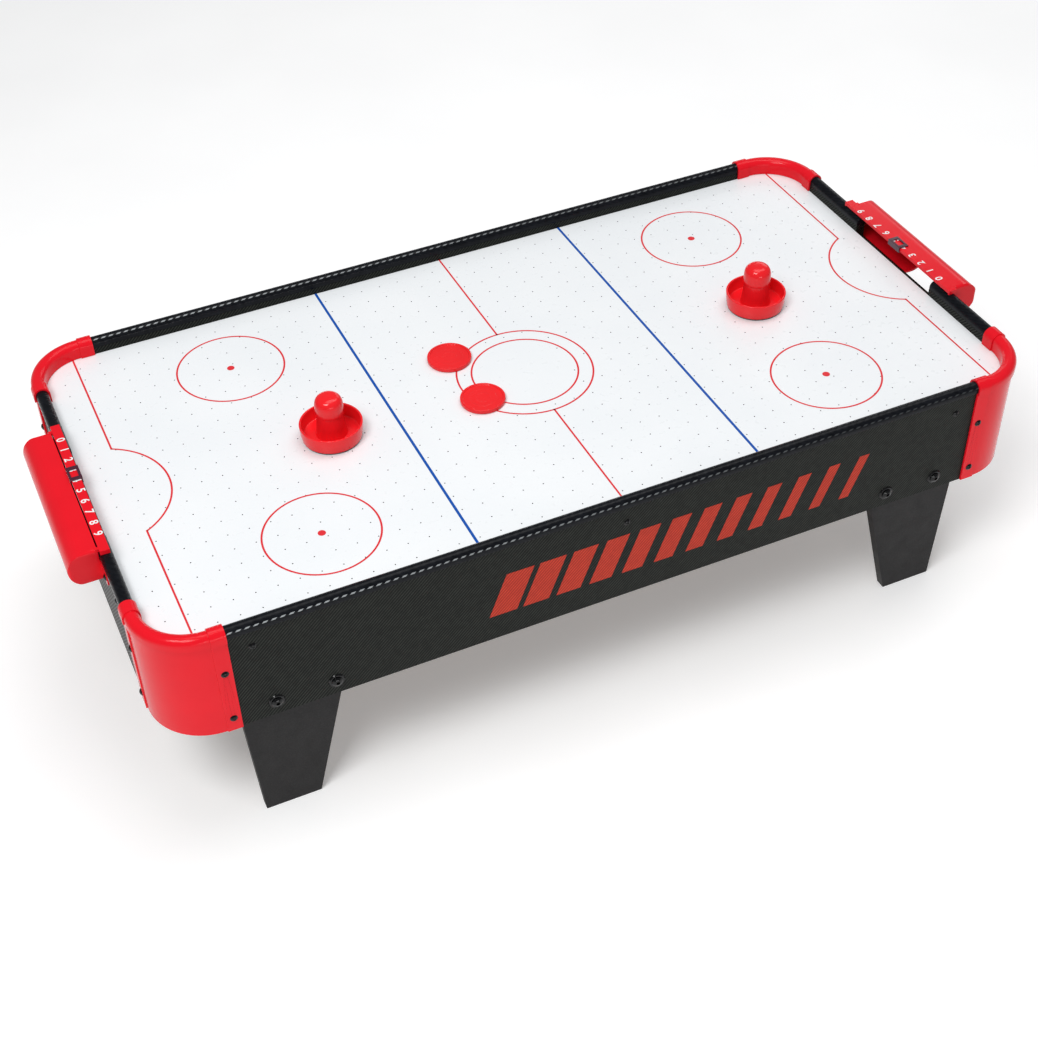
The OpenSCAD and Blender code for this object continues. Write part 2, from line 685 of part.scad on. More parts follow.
module puck_piece() rotate_extrude() {
  edge = 0.8;
  dish = 0.9;
  dish_r = puck_r - 3.2;
  difference() {
    union() {
      translate([0, edge]) square([puck_r, puck_t - 2 * edge]);
      square([puck_r - edge, puck_t]);
      for (y = [edge, puck_t - edge]) translate([puck_r - edge, y]) circle(r = edge, $fn = 24);
    }
    translate([0, puck_t - dish]) square([dish_r, dish + 1]);
    translate([0, -1]) square([dish_r, dish + 1]);
    translate([-9, -1]) square([9, puck_t + 2]);
  }
}
puck_at = [[-62, 58.5], [-58, -28]];
module puck(i) color(red) translate([puck_at[i][0], puck_at[i][1], surf_h + fit]) puck_piece();

// ---------- assembly ----------

play_board();
side_panel_front();
side_panel_back();
end_panel_left();
end_panel_right();
side_rail(-1);  // side_rail_front
side_rail(1);  // side_rail_back
end_rail(-1, -1);  // end_rail_left_front
end_rail(-1, 1);  // end_rail_left_back
end_rail(1, -1);  // end_rail_right_front
end_rail(1, 1);  // end_rail_right_back
corner_cover(-1, -1);  // corner_cover_left_front
corner_cover(-1, 1);  // corner_cover_left_back
corner_cover(1, -1);  // corner_cover_right_front
corner_cover(1, 1);  // corner_cover_right_back
corner_bracket(-1, -1);  // corner_bracket_left_front
corner_bracket(-1, 1);  // corner_bracket_left_back
corner_bracket(1, -1);  // corner_bracket_right_front
corner_bracket(1, 1);  // corner_bracket_right_back
goal_hood(-1);  // goal_hood_left
goal_hood(1);  // goal_hood_right
score_slider(-1);  // score_slider_left
score_slider(1);  // score_slider_right
leg(-1, -1);  // leg_left_front
leg(-1, 1);  // leg_left_back
leg(1, -1);  // leg_right_front
leg(1, 1);  // leg_right_back
leg_bolts();
leg_washers();
leg_nuts();
side_batten(-1);  // side_batten_front
side_batten(1);  // side_batten_back
end_batten(-1);  // end_batten_left
end_batten(1);  // end_batten_right
cross_rib(-1);  // cross_rib_left
cross_rib(1);  // cross_rib_right
chamber_deck();
deck_screws();
blower_case();
blower_grille();
blower_motor();
blower_shaft();
blower_wheel();
blower_screws();
switch_body();
switch_rocker();
power_jack();
power_lead();
lead_clips();
panel_screws();
cover_screws();
hood_screws();
striker(0);  // striker_left
striker(1);  // striker_right
striker_pad(0);  // striker_pad_left
striker_pad(1);  // striker_pad_right
puck(0);  // puck_left
puck(1);  // puck_right
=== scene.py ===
"""Looks, light and camera for the air hockey table. All lengths are in metres, in the frame
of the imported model: X along the table, Y across it, Z up from the floor."""
import math

import bmesh
import bpy
from mathutils import Matrix, Vector


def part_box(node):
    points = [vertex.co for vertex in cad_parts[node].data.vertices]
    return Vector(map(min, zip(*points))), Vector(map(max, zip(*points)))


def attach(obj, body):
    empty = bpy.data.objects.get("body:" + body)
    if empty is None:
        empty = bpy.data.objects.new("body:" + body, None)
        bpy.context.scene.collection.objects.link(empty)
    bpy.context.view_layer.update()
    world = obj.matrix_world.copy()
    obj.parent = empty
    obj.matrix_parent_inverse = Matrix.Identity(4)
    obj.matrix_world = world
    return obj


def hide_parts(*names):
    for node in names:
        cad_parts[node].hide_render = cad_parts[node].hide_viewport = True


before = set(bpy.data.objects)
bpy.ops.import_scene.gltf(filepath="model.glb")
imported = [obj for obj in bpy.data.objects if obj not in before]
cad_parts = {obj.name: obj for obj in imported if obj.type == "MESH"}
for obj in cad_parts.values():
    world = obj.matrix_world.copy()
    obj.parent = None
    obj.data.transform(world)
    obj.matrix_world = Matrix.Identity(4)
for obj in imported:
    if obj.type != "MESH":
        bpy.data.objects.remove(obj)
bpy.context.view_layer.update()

scene = bpy.context.scene
scene.view_settings.view_transform = "Standard"

# ---------- sizes that the pieces share ----------

board_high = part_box("play_board")[1]
panel_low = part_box("side_panel_front")[0]
striker_low, striker_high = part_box("striker_left")
puck_low, puck_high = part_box("puck_left")
rail_low, rail_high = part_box("side_rail_back")
SURFACE = board_high.z
PRINT_GAP = 0.00012          # how far a printed film stands off what it is printed on
PRINT_X = 0.0065             # the court is printed this far off the middle of the board
STRIP_TOP = SURFACE + 0.024
STRIP_X = 0.506              # middle of the score strips
SCORE_PITCH = 0.0183
FIGURE_SIZE = 0.0128         # type size of the score figures
RAIL_Y = (rail_low.y + rail_high.y) / 2
RAIL_CENTRE_Z = rail_high.z - (rail_high.y - rail_low.y) / 2      # centre of the round top
DASH_PITCH = 0.009


# ---------- materials ----------

def node(tree, kind, sockets=(), **settings):
    """Adds a shader node. Sockets take a value or another node's output."""
    made = tree.nodes.new("ShaderNode" + kind)
    for key, value in settings.items():
        setattr(made, key, value)
    for key, value in dict(sockets).items():
        if isinstance(value, bpy.types.NodeSocket):
            tree.links.new(value, made.inputs[key])
        else:
            made.inputs[key].default_value = value
    return made


def start(name, **shader):
    """A new material: its tree, its shader and its coordinates in metres."""
    made = bpy.data.materials.new(name)
    made.use_nodes = True
    tree = made.node_tree
    bsdf = tree.nodes["Principled BSDF"]
    for key, value in shader.items():
        bsdf.inputs[key.replace("_", " ")].default_value = value
    return made, tree, bsdf, node(tree, "TexCoord").outputs["Object"]


def noise(tree, place, scale, detail=2.0, rough=0.5):
    sockets = {"Vector": place, "Scale": scale, "Detail": detail, "Roughness": rough}
    return node(tree, "TexNoise", sockets).outputs["Fac"]


def product(tree, one, other):
    return node(tree, "Math", {0: one, 1: other}, operation="MULTIPLY").outputs[0]


def between(tree, factor, low, high, start_at=0.3, end_at=0.7):
    """A number that goes from low to high as the factor rises."""
    sockets = {"Value": factor, "From Min": start_at, "From Max": end_at, "To Min": low, "To Max": high}
    return node(tree, "MapRange", sockets).outputs["Result"]


def tint(tree, factor, stops):
    """A colour taken from stops of (position, (r, g, b))."""
    ramp = node(tree, "ValToRGB", {"Fac": factor})
    ramp.color_ramp.elements[0].position = stops[0][0]
    ramp.color_ramp.elements[1].position = stops[-1][0]
    for position, _ in stops[1:-1]:
        ramp.color_ramp.elements.new(position)
    for element, (_, colour) in zip(ramp.color_ramp.elements, stops):
        element.color = (*colour, 1)
    return ramp.outputs["Color"]


def relief(tree, bsdf, height, depth, strength=1.0):
    """Raises the surface by up to depth metres where height is 1, over any earlier relief."""
    sockets = {"Height": height, "Distance": depth, "Strength": strength}
    if bsdf.inputs["Normal"].is_linked:
        sockets["Normal"] = bsdf.inputs["Normal"].links[0].from_socket
    tree.links.new(node(tree, "Bump", sockets).outputs["Normal"], bsdf.inputs["Normal"])


def stripes(tree, place, direction, pitch):
    """A wave from 0 to 1 along a direction, one crest to each pitch."""
    along = node(tree, "VectorMath", {0: place, 1: direction}, operation="DOT_PRODUCT").outputs["Value"]
    wave = node(tree, "Math", {0: product(tree, along, 2 * math.pi / pitch)}, operation="SINE").outputs[0]
    return between(tree, wave, 0, 1, -1, 1)


def shade(colour, amount):
    return tuple(min(1, c * amount) for c in colour)


def plastic(name, colour, rough, mottle=0.06, grain=0.00003, **shader):
    """Moulded plastic: faint clouding, uneven gloss and a fine grain."""
    made, tree, bsdf, place = start(name, **shader)
    cloud = noise(tree, place, 22, 3)
    colours = [(0.3, shade(colour, 1 - mottle)), (0.5, colour), (0.72, shade(colour, 1 + mottle))]
    tree.links.new(tint(tree, cloud, colours), bsdf.inputs["Base Color"])
    wear = noise(tree, place, 45, 4)
    tree.links.new(between(tree, wear, rough - 0.02, rough + 0.04), bsdf.inputs["Roughness"])
    relief(tree, bsdf, noise(tree, place, 2600, 1), grain, 0.7)
    return made


def metal(name, colour, rough, scratch=0.00002):
    """Turned or plated metal with fine scratches round it."""
    made, tree, bsdf, place = start(name, Metallic=1.0)
    streak = node(tree, "Mapping", {"Vector": place, "Scale": (300, 300, 4000)}).outputs["Vector"]
    lines = noise(tree, streak, 1, 3)
    tree.links.new(tint(tree, lines, [(0.3, shade(colour, 0.8)), (0.7, colour)]), bsdf.inputs["Base Color"])
    tree.links.new(between(tree, lines, rough - 0.06, rough + 0.1), bsdf.inputs["Roughness"])
    relief(tree, bsdf, lines, scratch, 0.6)
    return made


def board_laminate():
    """White laminate: a cool sheen with a hint of cloud and a very fine texture."""
    made, tree, bsdf, place = start("board_laminate", Coat_Weight=0.15, Coat_Roughness=0.18)
    white = [(0.35, (0.85, 0.875, 0.895)), (0.65, (0.88, 0.90, 0.915))]
    tree.links.new(tint(tree, noise(tree, place, 7, 3), white), bsdf.inputs["Base Color"])
    tree.links.new(between(tree, noise(tree, place, 130, 4), 0.26, 0.38), bsdf.inputs["Roughness"])
    relief(tree, bsdf, noise(tree, place, 1800, 2), 0.00002, 0.5)
    return made


def print_ink(name, colour):
    """Screen-printed ink, a little uneven in cover."""
    made, tree, bsdf, place = start(name, Specular_IOR_Level=0.25)
    cover = noise(tree, place, 900, 3)
    tree.links.new(tint(tree, cover, [(0.3, shade(colour, 0.88)), (0.7, shade(colour, 1.08))]),
                   bsdf.inputs["Base Color"])
    tree.links.new(between(tree, cover, 0.3, 0.42), bsdf.inputs["Roughness"])
    relief(tree, bsdf, cover, 0.00002, 0.4)
    return made


def twill_film(name, valley, crest):
    """Film with a fine slanted weave pressed into it, rising to the right."""
    made, tree, bsdf, place = start(name, Specular_IOR_Level=0.12)
    weave = stripes(tree, place, (1, -1, -1), 0.0044)
    cross = stripes(tree, place, (1, -1, 1), 0.0036)
    both = product(tree, weave, between(tree, cross, 0.85, 1, 0, 1))
    patch = product(tree, both, between(tree, noise(tree, place, 160, 3), 0.7, 1.0))
    tree.links.new(tint(tree, patch, [(0.3, valley), (0.85, crest)]), bsdf.inputs["Base Color"])
    tree.links.new(between(tree, patch, 0.5, 0.36, 0, 1), bsdf.inputs["Roughness"])
    relief(tree, bsdf, weave, 0.00006, 0.5)
    return made


def dash_row(tree, place, middle_y, tilt, right_strength):
    """Painted highlight: a row of slanted pale dashes along a long rail, 0 to 1, in place of a lamp's glint
    broken up by the emboss. It runs where the round top tilts towards the front by the given angle, and fades
    to the right as the light does."""
    axes = node(tree, "SeparateXYZ", {"Vector": place}).outputs
    ahead = node(tree, "Math", {0: middle_y, 1: axes["Y"]}, operation="SUBTRACT").outputs[0]
    above = node(tree, "Math", {0: axes["Z"], 1: RAIL_CENTRE_Z}, operation="SUBTRACT").outputs[0]
    angle = node(tree, "Math", {0: ahead, 1: above}, operation="ARCTAN2").outputs[0]
    off = node(tree, "Math", {0: angle, 1: tilt}, operation="SUBTRACT").outputs[0]
    away = node(tree, "Math", {0: off}, operation="ABSOLUTE").outputs[0]
    dash = between(tree, stripes(tree, place, (1, -1.1, -1.1), DASH_PITCH), 0, 1, 0.42, 0.55)
    line = between(tree, away, 1, 0, 0.09, 0.13)
    # The painted highlight dims towards the right, as the light on the rail does.
    fade = between(tree, axes["X"], 1, right_strength, -0.35, 0.25)
    return product(tree, product(tree, line, dash), fade)


def rail_plastic(name, row=None):
    """Near-black rail with a faint slanted emboss, and a painted highlight of pale dashes where a row is
    given.
    """
    made, tree, bsdf, place = start(name, Specular_IOR_Level=0.12)
    cloud = noise(tree, place, 120, 3)
    colour = tint(tree, cloud, [(0.3, (0.003, 0.0035, 0.005)), (0.7, (0.007, 0.008, 0.011))])
    emboss = between(tree, stripes(tree, place, (1, 1, 2.2), DASH_PITCH), 0, 1, 0.35, 0.6)
    if row:
        # The pale grey mixed in here is a painted highlight, not a colour of the rail.
        sockets = {"Factor": dash_row(tree, place, *row), "A": colour, "B": (0.32, 0.34, 0.35, 1)}
        colour = node(tree, "Mix", sockets, data_type="RGBA").outputs["Result"]
    tree.links.new(colour, bsdf.inputs["Base Color"])
    tree.links.new(between(tree, emboss, 0.2, 0.34, 0, 1), bsdf.inputs["Roughness"])
    relief(tree, bsdf, emboss, 0.00006, 0.4)
    relief(tree, bsdf, noise(tree, place, 1500, 2), 0.00003, 0.4)
    return made


def leg_laminate():
    """Plain charcoal laminate with a fine speckle."""
    made, tree, bsdf, place = start("leg_laminate", Specular_IOR_Level=0.2)
    speck = noise(tree, place, 900, 4, 0.7)
    dark = [(0.3, (0.010, 0.0095, 0.0098)), (0.55, (0.017, 0.016, 0.0165)),
            (0.75, (0.027, 0.0255, 0.026))]
    tree.links.new(tint(tree, speck, dark), bsdf.inputs["Base Color"])
    tree.links.new(between(tree, noise(tree, place, 60, 4), 0.48, 0.6), bsdf.inputs["Roughness"])
    relief(tree, bsdf, speck, 0.00006, 0.5)
    return made


def board_core():
    """The cut edge of fibreboard, seen in the air holes: its brown is darkened past the board's own to paint
    the shade down the holes.
    """
    made, tree, bsdf, place = start("board_core", Roughness=0.8, Specular_IOR_Level=0.2)
    fibre = noise(tree, place, 1500, 4, 0.7)
    tree.links.new(tint(tree, fibre, [(0.3, (0.045, 0.040, 0.036)), (0.7, (0.10, 0.09, 0.08))]),
                   bsdf.inputs["Base Color"])
    relief(tree, bsdf, fibre, 0.00008, 0.5)
    return made


def bare_wood():
    """Softwood with growth lines along the length."""
    made, tree, bsdf, place = start("bare_wood", Roughness=0.65)
    drawn = node(tree, "Mapping", {"Vector": place, "Scale": (1, 1, 9)}).outputs["Vector"]
    bent = noise(tree, drawn, 30, 5, 0.6)
    rings = node(tree, "TexWave", {"Vector": drawn, "Scale": 28, "Distortion": 6, "Detail": 3}).outputs["Fac"]
    mixed = product(tree, rings, bent)
    tree.links.new(tint(tree, mixed, [(0.05, (0.50, 0.33, 0.18)), (0.55, (0.66, 0.48, 0.29))]),
                   bsdf.inputs["Base Color"])
    relief(tree, bsdf, mixed, 0.00015, 0.5)
    return made


def hardboard():
    """Pressed brown board with short fibres."""
    made, tree, bsdf, place = start("hardboard")
    fibre = noise(tree, place, 420, 6, 0.75)
    brown = [(0.3, (0.13, 0.065, 0.03)), (0.5, (0.20, 0.11, 0.055)), (0.75, (0.30, 0.18, 0.10))]
    tree.links.new(tint(tree, fibre, brown), bsdf.inputs["Base Color"])
    tree.links.new(between(tree, fibre, 0.55, 0.75), bsdf.inputs["Roughness"])
    relief(tree, bsdf, fibre, 0.0001, 0.6)
    return made


def felt():
    """Short dense felt."""
    made, tree, bsdf, place = start("felt", Sheen_Weight=0.5, Sheen_Roughness=0.5)
    pile = noise(tree, place, 3200, 6, 0.8)
    tree.links.new(tint(tree, pile, [(0.3, (0.012, 0.012, 0.013)), (0.75, (0.07, 0.07, 0.07))]),
                   bsdf.inputs["Base Color"])
    tree.links.new(between(tree, pile, 0.85, 1.0), bsdf.inputs["Roughness"])
    relief(tree, bsdf, pile, 0.0003, 0.8)
    return made


def floor_paint():
    made, tree, bsdf, place = start("floor_paint", Emission_Color=(1, 1, 1, 1), Emission_Strength=0.22)
    white = [(0.3, (0.90, 0.90, 0.90)), (0.7, (0.94, 0.94, 0.94))]
    tree.links.new(tint(tree, noise(tree, place, 3, 3), white), bsdf.inputs["Base Color"])
    tree.links.new(between(tree, noise(tree, place, 40, 3), 0.75, 0.9), bsdf.inputs["Roughness"])
    return made


RED = (0.77, 0.008, 0.018)
white_board = board_laminate()
core = board_core()
panel_film = twill_film("panel_film", (0.001, 0.0015, 0.001), (0.029, 0.033, 0.027))
bar_film = twill_film("bar_film", (0.36, 0.026, 0.014), (0.66, 0.058, 0.028))
red_plastic = plastic("red_plastic", RED, 0.16, mottle=0.03, Specular_IOR_Level=0.17)
striker_red = plastic("striker_plastic", (0.84, 0.012, 0.018), 0.14, grain=0.00001, Specular_IOR_Level=0.35)
puck_red = plastic("puck_plastic", (0.82, 0.016, 0.020), 0.24, Specular_IOR_Level=0.3)
slider_plum = plastic("slider_plastic", (0.055, 0.006, 0.022), 0.2, Coat_Weight=0.3, Coat_Roughness=0.1)
black_steel = plastic("black_steel", (0.003, 0.003, 0.0035), 0.1, Specular_IOR_Level=0.3)
zinc_steel = metal("zinc_steel", (0.62, 0.63, 0.64), 0.3)
black_plastic = plastic("black_plastic", (0.012, 0.012, 0.014), 0.38)
blower_plastic = plastic("blower_plastic", (0.022, 0.022, 0.025), 0.45, grain=0.00008)
rocker_red = plastic("rocker_plastic", (0.62, 0.015, 0.02), 0.22)
cable_sheath = plastic("cable_sheath", (0.012, 0.012, 0.012), 0.5)
clip_plastic = plastic("clip_plastic", (0.72, 0.71, 0.67), 0.4)
red_ink = print_ink("red_ink", (0.74, 0.030, 0.040))
blue_ink = print_ink("blue_ink", (0.002, 0.080, 0.40))
white_ink = print_ink("white_ink", (0.86, 0.86, 0.86))

# The long rails carry a painted highlight: a row of pale dashes at a fixed tilt on each rail, fading to the
# right.
front_rail_painted_glint = rail_plastic("rail_front", (-RAIL_Y, math.radians(62), 0.12))
back_rail_painted_glint = rail_plastic("rail_back", (RAIL_Y, math.radians(32), 0.35))
wood = bare_wood()

# The start of a CAD node's name tells its finish. Where two starts fit, the first one counts.
FINISH = {
    "play_board": white_board, "side_panel": panel_film, "end_panel": panel_film,
    "side_rail_front": front_rail_painted_glint, "side_rail_back": back_rail_painted_glint, "end_rail": rail_plastic("rail_end"),
    "corner_cover": red_plastic, "goal_hood": red_plastic, "score_slider": slider_plum,
    "corner_bracket": wood, "side_batten": wood, "end_batten": wood, "cross_rib": wood,
    "leg_bolts": black_steel, "leg_washers": black_steel, "leg_nuts": zinc_steel,
    "leg_": leg_laminate(), "chamber_deck": hardboard(), "deck_screws": black_steel,
    "blower_case": blower_plastic, "blower_grille": blower_plastic, "blower_wheel": blower_plastic,
    "blower_motor": zinc_steel, "blower_shaft": zinc_steel, "blower_screws": black_steel,
    "switch_body": black_plastic, "switch_rocker": rocker_red, "power_jack": black_plastic,
    "power_lead": cable_sheath, "lead_clips": clip_plastic, "panel_screws": black_steel,
    "cover_screws": black_steel, "hood_screws": black_steel, "striker_pad": felt(),
    "striker_": striker_red, "puck_": puck_red,
}

# How far the edges of a moulding are rounded.
EDGE = {"corner_cover": 0.0005, "goal_hood": 0.0006, "score_slider": 0.0003, "switch_": 0.0004,
        "power_jack": 0.0004, "side_rail": 0.0005, "end_rail": 0.0005}
SMALL_EDGE = 0.0002


def by_start(table, name):
    """The entry whose key the name starts with, or None."""
    return next((value for key, value in table.items() if name.startswith(key)), None)


# Boards and panels keep their flat faces as they are.
FLAT = ("play_board", "side_panel", "end_panel", "leg_left", "leg_right", "side_batten", "end_batten",
        "cross_rib", "chamber_deck")


def bevel(obj, width):
    """Rounds the sharp edges of a moulding."""
    edge = obj.modifiers.new("edge", "BEVEL")
    edge.width = width
    edge.segments = 2
    edge.limit_method = "ANGLE"
    edge.angle_limit = math.radians(35)


for name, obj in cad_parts.items():
    obj.data.materials.clear()
    obj.data.materials.append(by_start(FINISH, name))
    # Faces that don't face up, the air-hole walls among them, take the core brown with its painted shade.
    if name == "play_board":
        obj.data.materials.append(core)
        for face in obj.data.polygons:
            face.material_index = 1 if face.normal.z < 0.5 else 0
    if name.startswith(FLAT):
        continue
    for face in obj.data.polygons:
        face.use_smooth = True
    obj.modifiers.new("weld", "WELD").merge_threshold = 0.00001
    bevel(obj, by_start(EDGE, name) or SMALL_EDGE)
    obj.modifiers.new("normals", "WEIGHTED_NORMAL").keep_sharp = True


# ---------- mesh helpers ----------

def piece(name, vertices, faces, finish, body="table", smooth=False):
    """A new mesh piece that rides on a body and takes a finish."""
    mesh = bpy.data.meshes.new(name)
    mesh.from_pydata([tuple(v) for v in vertices], [], faces)
    for face in mesh.polygons:
        face.use_smooth = smooth
    mesh.materials.append(finish)
    made = bpy.data.objects.new(name, mesh)
    scene.collection.objects.link(made)
    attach(made, body)
    return made


class Print:
    """Flat printed shapes that are gathered into one mesh."""

    def __init__(self):
        self.vertices, self.faces = [], []

    def shape(self, points):
        first = len(self.vertices)
        self.vertices += points
        self.faces.append(tuple(range(first, first + len(points))))

    def line(self, a, b, width):
        along = (Vector(b) - Vector(a)).normalized() * width / 2
        side = Vector((-along.y, along.x))
        a, b = Vector(a) - along, Vector(b) + along
        self.shape([(*p, SURFACE + PRINT_GAP) for p in (a - side, b - side, b + side, a + side)])

    def arc(self, centre, radius, width, start=0.0, end=2 * math.pi):
        steps = max(12, int(96 * (end - start) / (2 * math.pi)))
        for i in range(steps):
            a, b = (start + (end - start) * k / steps for k in (i, i + 1))
            inner, outer = radius - width / 2, radius + width / 2
            self.shape([(centre[0] + r * math.cos(t), centre[1] + r * math.sin(t), SURFACE + PRINT_GAP)
                        for r, t in ((inner, a), (outer, a), (outer, b), (inner, b))])

    def dot(self, centre, radius):
        self.shape([(centre[0] + radius * math.cos(t * math.pi / 16),
                     centre[1] + radius * math.sin(t * math.pi / 16), SURFACE + PRINT_GAP)
                    for t in range(32)])


# ---------- the printed court ----------

INNER_W = board_high.y                        # where the lines stop at the side rails
LINE, WIDE_LINE = 0.0021, 0.0031
GOAL_X, CREASE_Y = 0.463, 0.073
CREASE_R, CREASE_REACH = 0.0828, 0.0442       # the crease stands this far in front of the goal line
CENTRE_R = (0.0779, 0.0608)
BLUE_X = 0.163
FACE_OFF, FACE_OFF_R, DOT_R = (0.301, 0.1555), 0.0617, 0.0043

red_lines, blue_lines = Print(), Print()
for radius in CENTRE_R:
    red_lines.arc((PRINT_X, 0), radius, LINE)
for side in (-1, 1):
    red_lines.line((PRINT_X, side * CENTRE_R[0]), (PRINT_X, side * INNER_W), LINE)
    blue_lines.line((PRINT_X + side * BLUE_X, -INNER_W), (PRINT_X + side * BLUE_X, INNER_W), WIDE_LINE)
    goal_x = PRINT_X + side * GOAL_X
    crease_x = goal_x - side * (CREASE_REACH - CREASE_R)
    spread = math.asin(CREASE_Y / CREASE_R)
    middle = math.pi if side > 0 else 0
    red_lines.arc((crease_x, 0), CREASE_R, LINE, middle - spread, middle + spread)
    for across in (-1, 1):
        red_lines.line((goal_x, across * CREASE_Y), (goal_x, across * INNER_W), LINE)
        spot = (PRINT_X + side * FACE_OFF[0], across * FACE_OFF[1])
        red_lines.arc(spot, FACE_OFF_R, LINE)
        red_lines.dot(spot, DOT_R)
piece("court_red_lines", red_lines.vertices, red_lines.faces, red_ink)
piece("court_blue_lines", blue_lines.vertices, blue_lines.faces, blue_ink)


# ---------- score digits ----------

def digit_mesh(figure, size):
    """The flat mesh of one figure, centred on the origin."""
    curve = bpy.data.curves.new("figure", "FONT")
    curve.body = str(figure)
    curve.size = size
    curve.offset = size * 0.018
    curve.align_x, curve.align_y = "CENTER", "CENTER"
    holder = bpy.data.objects.new("figure", curve)
    scene.collection.objects.link(holder)
    mesh = bpy.data.meshes.new_from_object(holder.evaluated_get(bpy.context.evaluated_depsgraph_get()))
    bpy.data.objects.remove(holder)
    return mesh


def digits(name, side):
    """The figures 0 to 9 along a score strip, upright for the player at that end."""
    gathered = bmesh.new()
    turn = Matrix.Rotation(side * math.pi / 2, 4, "Z")
    for figure in range(10):
        mesh = digit_mesh(figure, FIGURE_SIZE)
        y = side * (figure - 4.5) * SCORE_PITCH
        mesh.transform(Matrix.Translation((side * STRIP_X, y, STRIP_TOP + PRINT_GAP)) @ turn)
        gathered.from_mesh(mesh)
    mesh = bpy.data.meshes.new(name)
    gathered.to_mesh(mesh)
    mesh.materials.append(white_ink)
    made = bpy.data.objects.new(name, mesh)
    scene.collection.objects.link(made)
    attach(made, "table")


digits("score_digits_left", -1)
digits("score_digits_right", 1)

# ---------- the band of bars on the side panels ----------

BAR_LOW, BAR_HIGH = SURFACE - 0.084, SURFACE - 0.030
BAR_START, BAR_END, BAR_COUNT = -0.158, 0.323, 12
BAR_LEAN = 0.021


def bars(name, side):
    """Slanted bars that get thinner towards the right of whoever faces the panel."""
    pitch = (BAR_END - BAR_START - BAR_LEAN) / BAR_COUNT
    vertices, faces = [], []
    y = side * (abs(panel_low.y) + PRINT_GAP)
    for i in range(BAR_COUNT):
        left = BAR_START + i * pitch
        right = left + pitch * (0.82 - 0.045 * i)
        corners = [(left, BAR_LOW), (right, BAR_LOW),
                   (right + BAR_LEAN, BAR_HIGH), (left + BAR_LEAN, BAR_HIGH)]
        faces.append(tuple(range(len(vertices), len(vertices) + 4)))
        vertices += [(-side * x, y, z) for x, z in corners]
    piece(name, vertices, faces, bar_film)


bars("front_bars", -1)
bars("back_bars", 1)


# ---------- strikers and pucks ----------

def rounded(profile, steps=5):
    """A profile of (radius, height, rounding) points with its corners turned into arcs."""
    points = []
    for i, (r, z, turn) in enumerate(profile):
        here = Vector((r, z))
        if turn == 0 or i in (0, len(profile) - 1):
            points.append(here)
            continue
        before = (Vector(profile[i - 1][:2]) - here).normalized() * turn
        after = (Vector(profile[i + 1][:2]) - here).normalized() * turn
        for k in range(steps + 1):
            t = k / steps
            points.append(here + before * (1 - t) ** 2 + after * t ** 2)
    return points


def turned(name, profile, centre, base, finish, body, segments=128):
    """A turned piece: a profile of (radius, height) swept round an upright axis."""
    vertices, faces = [], []
    for r, z in profile:
        for s in range(segments):
            a = 2 * math.pi * s / segments
            vertices.append((centre.x + r * math.cos(a), centre.y + r * math.sin(a), base + z))
    for ring in range(len(profile) - 1):
        for s in range(segments):
            a, b = ring * segments + s, ring * segments + (s + 1) % segments
            faces.append((a, b, b + segments, a + segments))
    made = piece(name, vertices, faces, finish, body, smooth=True)
    tidy = bmesh.new()
    tidy.from_mesh(made.data)
    bmesh.ops.remove_doubles(tidy, verts=tidy.verts, dist=0.000004)
    bmesh.ops.recalc_face_normals(tidy, faces=tidy.faces)
    tidy.to_mesh(made.data)
    return made


STRIKER_R = (striker_high.x - striker_low.x) / 2
STRIKER_H = striker_high.z - striker_low.z


def striker_profile():
    """A thin cup with a hollow post that carries a domed cap."""
    shell = rounded([
        (0.0, 0.0, 0), (STRIKER_R - 0.0018, 0.0, 0.0008), (STRIKER_R - 0.0006, 0.008, 0.002),
        (STRIKER_R, 0.0184, 0.0011), (STRIKER_R - 0.0024, 0.0184, 0.0011),
        (STRIKER_R - 0.0035, 0.003, 0.0016), (0.0172, 0.003, 0.0014), (0.0142, 0.0315, 0.0003),
        (0.0156, 0.0316, 0.0006), (0.0157, 0.0340, 0.0004)])
    cap_low, cap_r = STRIKER_H - 0.0125, 0.0157
    dome = [Vector((cap_r * math.cos(t) ** 0.62, cap_low + 0.0125 * math.sin(t) ** 0.86))
            for t in (math.pi / 2 * k / 22 for k in range(22))]
    return shell + dome + [Vector((0.0, STRIKER_H))]


def puck_profile():
    """A disc with a raised rim and faint rings on both faces."""
    radius, thick = (puck_high.x - puck_low.x) / 2, puck_high.z - puck_low.z
    top = [(radius, thick / 2, 0), (radius, thick, 0.0009), (radius - 0.0026, thick, 0.0006),
           (radius - 0.0031, thick - 0.0013, 0.0003)]
    for r in (0.0150, 0.0080):
        top += [(r + 0.0008, thick - 0.0013, 0.0002), (r, thick - 0.0011, 0.0002),
                (r - 0.0008, thick - 0.0013, 0.0002)]
    top.append((0.0, thick - 0.0013, 0))
    half = rounded(top, 3)
    under = [Vector((p.x, thick - p.y)) for p in reversed(half)]
    return under + half[1:]


for side in ("left", "right"):
    low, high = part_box("striker_" + side)
    shell = turned("striker_shell_" + side, striker_profile(), (low + high) / 2, low.z, striker_red,
                   "striker_l" if side == "left" else "striker_r")
    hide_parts("striker_" + side)
    low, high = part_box("puck_" + side)
    disc = turned("puck_disc_" + side, puck_profile(), (low + high) / 2, low.z, puck_red,
                  "puck_l" if side == "left" else "puck_r")
    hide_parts("puck_" + side)


# ---------- floor, light and camera ----------

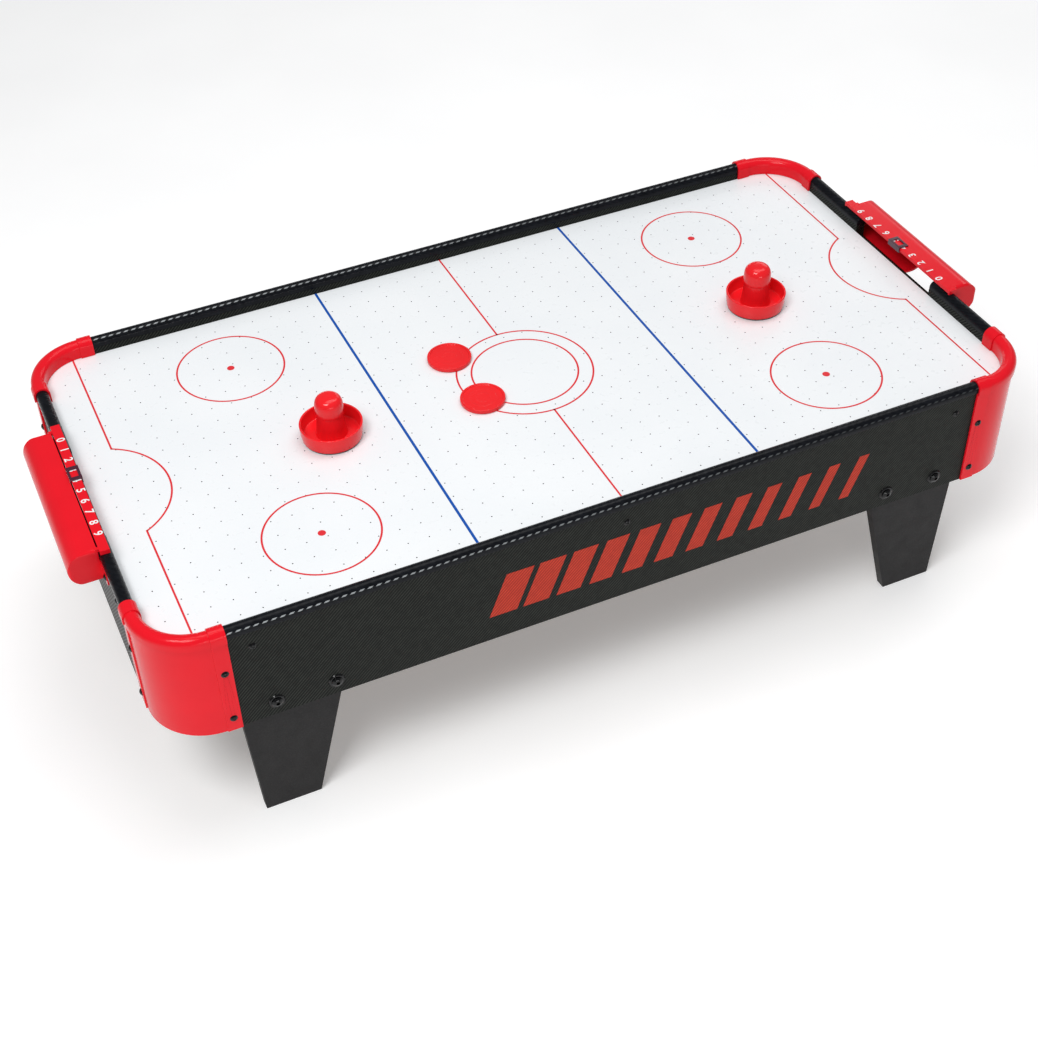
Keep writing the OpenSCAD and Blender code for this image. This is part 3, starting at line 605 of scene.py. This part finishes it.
floor_mesh = bpy.data.meshes.new("floor")
FAR = 9
floor_mesh.from_pydata([(-FAR, -FAR, 0), (FAR, -FAR, 0), (FAR, FAR, 0), (-FAR, FAR, 0)], [], [(0, 1, 2, 3)])
floor_mesh.materials.append(floor_paint())
floor = bpy.data.objects.new("floor", floor_mesh)
scene.collection.objects.link(floor)

world = bpy.data.worlds.new("studio")
scene.world = world
world.use_nodes = True
world.node_tree.nodes["Background"].inputs["Color"].default_value = (0.97, 0.985, 1.0, 1)
world.node_tree.nodes["Background"].inputs["Strength"].default_value = 0.27


def softbox(name, place, aim, size, power):
    light = bpy.data.lights.new(name, "AREA")
    light.shape = "RECTANGLE"
    light.size, light.size_y = size
    light.energy = power
    lamp = bpy.data.objects.new(name, light)
    scene.collection.objects.link(lamp)
    lamp.location = place
    lamp.visible_camera = False
    lamp.rotation_euler = (Vector(aim) - Vector(place)).to_track_quat("-Z", "Y").to_euler()


softbox("key", (-1.4, -1.1, 2.7), (0, 0, 0.2), (1.3, 1.0), 50)
softbox("top", (0.2, 0.1, 2.9), (0, 0, 0.2), (1.6, 1.6), 22)
softbox("fill", (1.5, 0.3, 2.8), (0, 0, 0.2), (1.2, 1.2), 11)
softbox("right_back", (2.4, 2.0, 1.5), (0, 0, 0.2), (1.6, 0.8), 6)
softbox("front_strip", (-0.1, -2.9, 0.40), (-0.1, 0, 0.3), (1.6, 0.22), 10)
softbox("back_strip", (0.9, 3.2, 0.40), (0.3, 0, 0.3), (2.4, 0.18), 7)

EYE = Vector((-0.6152, -1.3937, 1.4290))
AIM = Vector((-0.1397, -0.2191, 0.271))
ROLL = math.radians(-2.627)
forward = (AIM - EYE).normalized()
level = forward.cross(Vector((0, 0, 1))).normalized()
right = math.cos(ROLL) * level + math.sin(ROLL) * level.cross(forward)
up = right.cross(forward)
lens = bpy.data.cameras.new("camera")
lens.lens = 58.15
lens.sensor_width = 36
lens.shift_x, lens.shift_y = 0.0327, 0.0068
camera = bpy.data.objects.new("camera", lens)
scene.collection.objects.link(camera)
camera.matrix_world = Matrix.Translation(EYE) @ Matrix((right, up, -forward)).transposed().to_4x4()
scene.camera = camera
